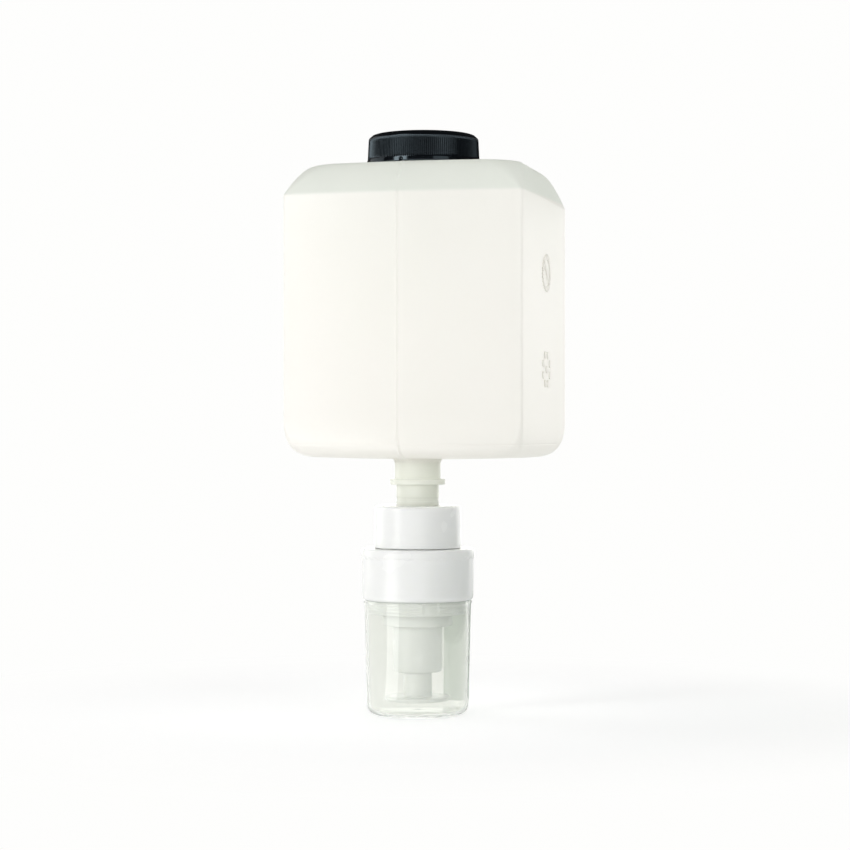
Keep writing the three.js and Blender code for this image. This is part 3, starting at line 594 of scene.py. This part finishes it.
def bare_finish(name):
    """A node material with nothing in it but its output, and that output's surface."""
    finish = bpy.data.materials.new(name)
    finish.use_nodes = True
    nodes, links = finish.node_tree.nodes, finish.node_tree.links
    nodes.clear()
    return finish, nodes, links, nodes.new("ShaderNodeOutputMaterial").inputs["Surface"]


def new_finish(name):
    """A node material with one principled shader on its surface."""
    finish, nodes, links, surface = bare_finish(name)
    shader = nodes.new("ShaderNodeBsdfPrincipled")
    links.new(shader.outputs["BSDF"], surface)
    return finish, nodes, links, shader, surface


def object_noise(nodes, links, scale, detail, stretch=(1, 1, 1)):
    """Noise on object coordinates, stretched along the axes."""
    place = nodes.new("ShaderNodeTexCoord")
    mapping = nodes.new("ShaderNodeMapping")
    mapping.inputs["Scale"].default_value = stretch
    noise = nodes.new("ShaderNodeTexNoise")
    noise.inputs["Scale"].default_value = scale
    noise.inputs["Detail"].default_value = detail
    links.new(place.outputs["Object"], mapping.inputs["Vector"])
    links.new(mapping.outputs["Vector"], noise.inputs["Vector"])
    return noise


def add_relief(nodes, links, shader, noise, distance):
    """A fine bump from a noise node."""
    bump = nodes.new("ShaderNodeBump")
    bump.inputs["Distance"].default_value = distance
    bump.inputs["Strength"].default_value = 1.0
    links.new(noise.outputs[0], bump.inputs["Height"])
    links.new(bump.outputs["Normal"], shader.inputs["Normal"])
    return bump


def tinted(nodes, links, noise, dark, light):
    """A colour that goes between two tones with a noise node."""
    ramp = nodes.new("ShaderNodeValToRGB")
    ramp.color_ramp.elements[0].position = 0.35
    ramp.color_ramp.elements[1].position = 0.65
    ramp.color_ramp.elements[0].color = (*dark, 1)
    ramp.color_ramp.elements[1].color = (*light, 1)
    links.new(noise.outputs[0], ramp.inputs["Fac"])
    return ramp.outputs["Color"]


def roughened(nodes, links, shader, noise, low, high):
    """Roughness that goes between two values with a noise node."""
    spread = nodes.new("ShaderNodeMapRange")
    spread.inputs["To Min"].default_value = low
    spread.inputs["To Max"].default_value = high
    links.new(noise.outputs[0], spread.inputs["Value"])
    links.new(spread.outputs["Result"], shader.inputs["Roughness"])


def grained(nodes, links, shader, noise, tones, roughness):
    """A shader's colour and roughness, which both go with one noise node."""
    links.new(tinted(nodes, links, noise, *tones), shader.inputs["Base Color"])
    roughened(nodes, links, shader, noise, *roughness)


def eased_range(nodes, links, value, start, end, low=0.0, high=1.0):
    """A level that goes smoothly from low to high as the value goes from start to end."""
    spread = nodes.new("ShaderNodeMapRange")
    spread.interpolation_type = "SMOOTHSTEP"
    spread.inputs["From Min"].default_value = start
    spread.inputs["From Max"].default_value = end
    spread.inputs["To Min"].default_value = low
    spread.inputs["To Max"].default_value = high
    links.new(value, spread.inputs["Value"])
    return spread.outputs["Result"]


def upright_part(nodes, links, coordinates):
    """The Z of Texture Coordinate's named output."""
    place = nodes.new("ShaderNodeTexCoord")
    parts = nodes.new("ShaderNodeSeparateXYZ")
    links.new(place.outputs[coordinates], parts.inputs["Vector"])
    return parts.outputs["Z"]


def by_height(nodes, links, low, high, start, end):
    """A colour that goes from one to another between two heights of the object."""
    height = upright_part(nodes, links, "Object")
    blend = nodes.new("ShaderNodeMixRGB")
    links.new(eased_range(nodes, links, height, start, end), blend.inputs["Fac"])
    links.new(low, blend.inputs["Color1"])
    links.new(high, blend.inputs["Color2"])
    return blend.outputs["Color"]


def plain_shader(nodes, kind, colour):
    """A shader of the given kind in one colour."""
    shader = nodes.new(kind)
    shader.inputs["Color"].default_value = (*colour, 1)
    return shader.outputs[0]


def glow_shader(nodes, level, colour=(1, 1, 1)):
    """Light of a level and a colour."""
    glow = nodes.new("ShaderNodeEmission")
    glow.inputs["Color"].default_value = (*colour, 1)
    glow.inputs["Strength"].default_value = level
    return glow.outputs["Emission"]


def mixed(nodes, links, share, first, second):
    """Two shaders mixed by a number or a node's value: the first at 0, the second at 1."""
    mix = nodes.new("ShaderNodeMixShader")
    if isinstance(share, float):
        mix.inputs["Fac"].default_value = share
    else:
        links.new(share, mix.inputs["Fac"])
    links.new(first, mix.inputs[1])
    links.new(second, mix.inputs[2])
    return mix.outputs["Shader"]


def reckoned(nodes, links, operation, first, second):
    """One step of arithmetic on two values."""
    step = nodes.new("ShaderNodeMath")
    step.operation = operation
    links.new(first, step.inputs[0])
    links.new(second, step.inputs[1])
    return step.outputs["Value"]


def seen_rays(nodes, links):
    """1 for rays straight from the camera and for those that gloss or glass sends on, or else 0."""
    rays = nodes.new("ShaderNodeLightPath").outputs
    seen = reckoned(nodes, links, "MAXIMUM", rays["Is Camera Ray"], rays["Is Glossy Ray"])
    return reckoned(nodes, links, "MAXIMUM", seen, rays["Is Transmission Ray"])


def milky_finish():
    """Milky polyethylene: satin, scattering light inside, and letting some through.

    The shoulder is a little greyer than the body, which is painted shade on the bottle's top, and
    the outlet neck is smoother and greener.
    """
    finish, nodes, links, shader, surface = new_finish("milky_polyethylene")
    neck_top, shoulder_shade_start = (0.1105, 0.1145), (0.2295, 0.2315)
    cloud = object_noise(nodes, links, 14.0, 2.0)
    grain = object_noise(nodes, links, 900.0, 3.0)
    body = tinted(nodes, links, cloud, (0.955, 0.945, 0.91), (0.97, 0.955, 0.93))
    neck = tinted(nodes, links, cloud, (0.955, 0.965, 0.915), (0.965, 0.972, 0.93))
    # painted shade: the shoulder's greyer, greener tone stands in for the dimmer light on the top,
    # and is blended in where the shoulder begins
    shoulder = tinted(nodes, links, cloud, (0.87, 0.905, 0.86), (0.9, 0.925, 0.885))
    lower = by_height(nodes, links, neck, body, *neck_top)
    colour = by_height(nodes, links, lower, shoulder, *shoulder_shade_start)
    links.new(colour, shader.inputs["Base Color"])
    gloss = tinted(nodes, links, grain, (0.12, 0.12, 0.12), (0.18, 0.18, 0.18))
    satin = tinted(nodes, links, grain, (0.3, 0.3, 0.3), (0.42, 0.42, 0.42))
    links.new(by_height(nodes, links, gloss, satin, *neck_top), shader.inputs["Roughness"])
    shader.inputs["IOR"].default_value = 1.5
    bump = add_relief(nodes, links, shader, grain, 0.00002)
    through = nodes.new("ShaderNodeBsdfTranslucent")
    links.new(colour, through.inputs["Color"])
    links.new(bump.outputs["Normal"], through.inputs["Normal"])
    both = mixed(nodes, links, 0.48, shader.outputs["BSDF"], through.outputs["BSDF"])
    links.new(both, surface)
    return finish


def black_finish():
    """Black polypropylene, near-black with a blue-grey sheen."""
    finish, nodes, links, shader, _ = new_finish("black_polypropylene")
    grain = object_noise(nodes, links, 700.0, 2.0)
    grained(nodes, links, shader, grain,
            [(0.0015, 0.002, 0.003), (0.0025, 0.003, 0.0045)], (0.08, 0.13))
    shader.inputs["IOR"].default_value = 1.5
    shader.inputs["Specular IOR Level"].default_value = 0.85
    shader.inputs["Specular Tint"].default_value = (0.72, 0.9, 1.0, 1)
    return finish


def white_finish():
    """White polypropylene, semi-gloss, with a little light scattered inside."""
    finish, nodes, links, shader, _ = new_finish("white_polypropylene")
    cloud = object_noise(nodes, links, 60.0, 2.0)
    grained(nodes, links, shader, cloud, [(0.86, 0.87, 0.85), (0.88, 0.885, 0.87)], (0.22, 0.3))
    shader.inputs["Subsurface Weight"].default_value = 0.25
    shader.inputs["Subsurface Radius"].default_value = (0.002, 0.002, 0.0018)
    shader.inputs["Subsurface Scale"].default_value = 1.0
    shader.inputs["IOR"].default_value = 1.5
    return finish


def clear_finish():
    """Clear polypropylene with a slight haze. Light passes it with a tint to what is inside.

    The haze is a thin veil that scatters light back and through. Shadow and diffuse rays go
    straight through the wall.
    """
    finish, nodes, links, shader, surface = new_finish("clear_polypropylene")
    haze = object_noise(nodes, links, 160.0, 2.0)
    roughened(nodes, links, shader, haze, 0.02, 0.05)
    shader.inputs["Base Color"].default_value = (0.94, 0.94, 0.91, 1)
    shader.inputs["Transmission Weight"].default_value = 1.0
    shader.inputs["IOR"].default_value = 1.47
    through = plain_shader(nodes, "ShaderNodeBsdfTranslucent", (0.9, 0.93, 0.9))
    back = plain_shader(nodes, "ShaderNodeBsdfDiffuse", (0.88, 0.92, 0.87))
    passing = plain_shader(nodes, "ShaderNodeBsdfTransparent", (0.945, 0.955, 0.94))
    veil = mixed(nodes, links, 0.5, through, back)
    veiled = mixed(nodes, links, 0.12, shader.outputs["BSDF"], veil)
    rays = nodes.new("ShaderNodeLightPath").outputs
    lighting = reckoned(nodes, links, "MAXIMUM", rays["Is Shadow Ray"], rays["Is Diffuse Ray"])
    links.new(mixed(nodes, links, lighting, veiled, passing), surface)
    return finish


def silicone_finish():
    """Pale matt elastomer."""
    finish, nodes, links, shader, _ = new_finish("pale_silicone")
    grain = object_noise(nodes, links, 800.0, 3.0)
    grained(nodes, links, shader, grain, [(0.76, 0.78, 0.76), (0.82, 0.84, 0.82)], (0.5, 0.65))
    add_relief(nodes, links, shader, grain, 0.00003)
    return finish


def liner_finish():
    """Foamed sealing disc: matt, with fine cells."""
    finish, nodes, links, shader, _ = new_finish("liner_foam")
    cells = object_noise(nodes, links, 1500.0, 2.0)
    grained(nodes, links, shader, cells, [(0.82, 0.82, 0.8), (0.9, 0.9, 0.88)], (0.75, 0.9))
    add_relief(nodes, links, shader, cells, 0.0001)
    return finish


def steel_finish():
    """Drawn stainless wire, with fine streaks along it."""
    finish, nodes, links, shader, _ = new_finish("spring_wire")
    streaks = object_noise(nodes, links, 2000.0, 2.0, stretch=(1, 1, 6))
    grained(nodes, links, shader, streaks, [(0.56, 0.57, 0.59), (0.66, 0.67, 0.69)], (0.2, 0.32))
    shader.inputs["Metallic"].default_value = 1.0
    return finish


def dress(thing, finish):
    """Gives a piece its one finish."""
    thing.data.materials.clear()
    thing.data.materials.append(finish)


MILKY, BLACK, WHITE, CLEAR = milky_finish(), black_finish(), white_finish(), clear_finish()
SILICONE, LINER, STEEL = silicone_finish(), liner_finish(), steel_finish()

bottle, filler_cap = make_bottle(), make_filler_cap()
collar, housing, guide_cover = make_collar(), make_housing(), make_guide_cover()
stem, spring, overcap = make_stem(), make_spring(), make_overcap()

NEW_PIECES = [
    (bottle, "pack", "bottle", MILKY, "milky_plastic"),
    (filler_cap, "cap", "filler_cap", BLACK, "black_plastic"),
    (collar, "pack", "pump_collar", WHITE, "white_plastic"),
    (housing, "pack", "pump_housing", WHITE, "white_plastic"),
    (guide_cover, "pack", "guide_cover", WHITE, "white_plastic"),
    (stem, "plunger", "stem", WHITE, "white_plastic"),
    (spring, "plunger", "return_spring", STEEL, "spring_steel"),
    (overcap, "overcap", "overcap", CLEAR, "clear_plastic"),
]
for thing, body, node, finish, slot in NEW_PIECES:
    dress(thing, finish)
    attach(thing, body)
    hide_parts(node)

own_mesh(spring)

KEPT_NODES = {
    "cap_liner": LINER,
    "neck_gasket": SILICONE,
    "inlet_valve": SILICONE,
    "air_piston": WHITE,
    "air_valve": SILICONE,
    "liquid_piston": WHITE,
    "outlet_valve": SILICONE,
    "mesh_holder": WHITE,
    "screen_upper": WHITE,
    "screen_lower": WHITE,
}
for node, finish in KEPT_NODES.items():
    dress(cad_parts[node], finish)


def stage_mesh(name, points, faces, finish):
    """A mesh of the studio, given in metres."""
    mesh = bpy.data.meshes.new(name)
    mesh.from_pydata(points, [], faces)
    mesh.materials.append(finish)
    thing = bpy.data.objects.new(name, mesh)
    bpy.context.scene.collection.objects.link(thing)
    return thing


def make_floor():
    """A plain pale floor that keeps the object's shadow near it and runs out to white.

    Where it is seen it adds a little light of its own, so that its lit part is white.
    """
    side, near, far, lift = 40.0, 0.07, 0.26, 0.42
    finish, nodes, links, surface = bare_finish("pale_floor")
    place = nodes.new("ShaderNodeTexCoord")
    away = nodes.new("ShaderNodeVectorMath")
    away.operation = "LENGTH"
    links.new(place.outputs["Object"], away.inputs[0])
    share = eased_range(nodes, links, away.outputs["Value"], near, far)
    seen = seen_rays(nodes, links)
    pale = plain_shader(nodes, "ShaderNodeBsdfDiffuse", (0.94, 0.94, 0.94))
    lifted = nodes.new("ShaderNodeAddShader")
    links.new(pale, lifted.inputs[0])
    links.new(glow_shader(nodes, lift), lifted.inputs[1])
    lit = mixed(nodes, links, seen, pale, lifted.outputs["Shader"])
    white = glow_shader(nodes, 1.0, (0.99, 0.99, 0.98))
    amount = reckoned(nodes, links, "MULTIPLY", seen, share)
    links.new(mixed(nodes, links, amount, lit, white), surface)
    corners = [(-side, -side, 0), (side, -side, 0), (side, side, 0), (-side, side, 0)]
    floor = stage_mesh("floor", corners, [(0, 1, 2, 3)], finish)


def make_world():
    """White where the camera, glass and gloss see it, and a softer level for lighting.

    The lighting level falls from the horizon to straight above.
    """
    horizon_level, top_level = 1.05, 0.04
    world = bpy.data.worlds.new("studio")
    bpy.context.scene.world = world
    world.use_nodes = True
    nodes, links = world.node_tree.nodes, world.node_tree.links
    nodes.clear()
    height = upright_part(nodes, links, "Generated")
    fall = eased_range(nodes, links, height, 0.1, 0.9, horizon_level, top_level)
    lighting = nodes.new("ShaderNodeBackground")
    lighting.inputs["Color"].default_value = (1.0, 1.0, 1.0, 1)
    links.new(fall, lighting.inputs["Strength"])
    shown = plain_shader(nodes, "ShaderNodeBackground", (0.99, 0.99, 0.98))
    both = mixed(nodes, links, seen_rays(nodes, links), lighting.outputs["Background"], shown)
    links.new(both, nodes.new("ShaderNodeOutputWorld").inputs["Surface"])


def add_lamp(name, place, aim, size, power, seen=True):
    """A soft rectangular lamp that points from its place to its aim, and that gloss may show."""
    lamp = bpy.data.lights.new(name, "AREA")
    lamp.shape = "RECTANGLE"
    lamp.size, lamp.size_y = size
    lamp.energy = power
    holder = bpy.data.objects.new(name, lamp)
    forward = np.array(aim, float) - np.array(place, float)
    forward /= np.linalg.norm(forward)
    turn = math.atan2(-forward[0], forward[1])
    tilt = math.acos(max(-1.0, min(1.0, -forward[2])))
    holder.location = place
    holder.rotation_euler = (tilt, 0, turn)
    holder.visible_camera = False
    holder.visible_glossy = seen
    holder.visible_transmission = seen
    bpy.context.scene.collection.objects.link(holder)


def add_card(name, start, end, low, high, tone, shades):
    """An upright card between two places on the floor, out of the camera's sight.

    It shows on its right-hand side only, seen from its start. One that shades also takes light
    away from the matt pieces near it.
    """
    finish, nodes, links, shader, surface = new_finish(name)
    shader.inputs["Base Color"].default_value = (*tone, 1)
    shader.inputs["Roughness"].default_value = 0.9
    side = nodes.new("ShaderNodeNewGeometry")
    clear = nodes.new("ShaderNodeBsdfTransparent")
    one_sided = mixed(nodes, links, side.outputs["Backfacing"],
                      shader.outputs["BSDF"], clear.outputs["BSDF"])
    links.new(one_sided, surface)
    corners = [(*start, low), (*end, low), (*end, high), (*start, high)]
    card = stage_mesh(name, corners, [(0, 1, 2, 3)], finish)
    card.visible_camera = False
    card.visible_shadow = False
    card.visible_diffuse = shades


def show_in_gloss(name, points, faces, level):
    """A glowing mesh that only glossy rays meet."""
    finish, nodes, links, surface = bare_finish(name)
    links.new(glow_shader(nodes, level), surface)
    thing = stage_mesh(name, points, faces, finish)
    thing.visible_camera = False
    thing.visible_diffuse = False
    thing.visible_transmission = False
    thing.visible_shadow = False


def round_card(axis_y, radius, low, high, start, end, count=12):
    """An upright card bent round an axis, from one direction to another in degrees."""
    turn = np.radians(np.linspace(start, end, count + 1))
    middle = axis_y * MILLIMETRE
    places = [(radius * math.cos(t), middle + radius * math.sin(t), z)
              for z in (low, high) for t in turn]
    faces = [(i, i + 1, count + 2 + i, count + 1 + i) for i in range(count)]
    return places, faces


def add_hood():
    """A dim hood round the screw cap with bright windows in it, which only gloss shows.

    Each window has a first and a last direction, a top and a level.
    """
    foot, top, sides = 0.262, 0.8, 72
    places, faces = round_card(FILLER_Y, 0.36, foot, top, 0, 360, sides)
    faces += [(len(places), sides + 1 + i, sides + 2 + i) for i in range(sides)]
    places.append((0, FILLER_Y * MILLIMETRE, top))
    show_in_gloss("hood", places, faces, 0.03)
    windows = {
        "left_window": (226, 252.5, 0.5, 3.5),
        "right_window": (305, 336, 0.42, 0.65),
        "far_left_window": (150, 200, 0.42, 0.55),
    }
    for name, (start, end, window_top, level) in windows.items():
        show_in_gloss(name, *round_card(FILLER_Y, 0.34, foot, window_top, start, end), level)


def add_reflector(name, middle, half_angle, level):
    """A bright wedge on the floor that only gloss shows, so that a strip runs up the overcap.

    It lies between two lines from the pump's axis, at its middle direction give or take the
    half angle, in degrees anticlockwise from +X.
    """
    near, far, lift = 0.06, 0.9, 0.001
    places = []
    for reach, turn in ((near, -half_angle), (far, -half_angle),
                        (far, half_angle), (near, half_angle)):
        angle = math.radians(middle + turn)
        y = PUMP_Y * MILLIMETRE + reach * math.sin(angle)
        places.append((reach * math.cos(angle), y, lift))
    show_in_gloss(name, places, [(0, 1, 2, 3)], level)


def add_camera():
    """The camera at the photograph's height, distance and angle."""
    camera = bpy.data.cameras.new("camera")
    camera.sensor_width = 36.0
    camera.lens = 101.65
    camera.clip_start, camera.clip_end = 0.05, 100.0
    holder = bpy.data.objects.new("camera", camera)
    holder.location = (0.2983, -1.0440, 0.1288)
    holder.rotation_euler = (math.radians(90), 0, math.radians(16))
    bpy.context.scene.collection.objects.link(holder)
    bpy.context.scene.camera = holder


make_floor()
make_world()
add_lamp("window_left", (-0.68, -0.87, 0.16), (0, 0, 0.13), (0.3, 0.8), 2.2)
add_lamp("strip_left", (-0.68, -0.87, 0.4), (0, 0, 0.2), (0.26, 0.16), 1.5)
add_lamp("strip_right", (0.855, -0.69, 0.4), (0, 0, 0.2), (0.3, 0.2), 0.85)
add_lamp("shoulder_right", (0.36, -0.08, 0.44), (0.04, 0, 0.235), (0.2, 0.2), 0.27, seen=False)
add_lamp("side_left", (-1.1, 0.2, 0.2), (0, 0, 0.13), (0.6, 0.9), 3.4)
add_lamp("low_front", (0.15, -0.75, 0.03), (0, 0, 0.13), (0.9, 0.04), 0.65)
add_lamp("backdrop_panel", (0.0, 1.1, 0.2), (0, 0, 0.15), (2.2, 1.0), 6.1)
add_lamp("floor_wash", (0.0, 0.0, 0.001), (0, 0, 1), (1.2, 1.2), 0.75, seen=False)
add_card("right_card", (0.22, 0.25), (0.22, -0.35), 0.002, 0.1, (0.08, 0.13, 0.105), True)
add_card("behind_card", (0.0002, 0.0314), (0.0355, 0.0416), 0.0005, 0.0505,
         (0.6, 0.65, 0.6), False)
add_hood()
add_reflector("left_strip", 232.0, 14.0, 4.5)
add_reflector("right_strip", 347.0, 5.0, 2.0)
add_camera()

bpy.context.scene.view_settings.view_transform = "Standard"
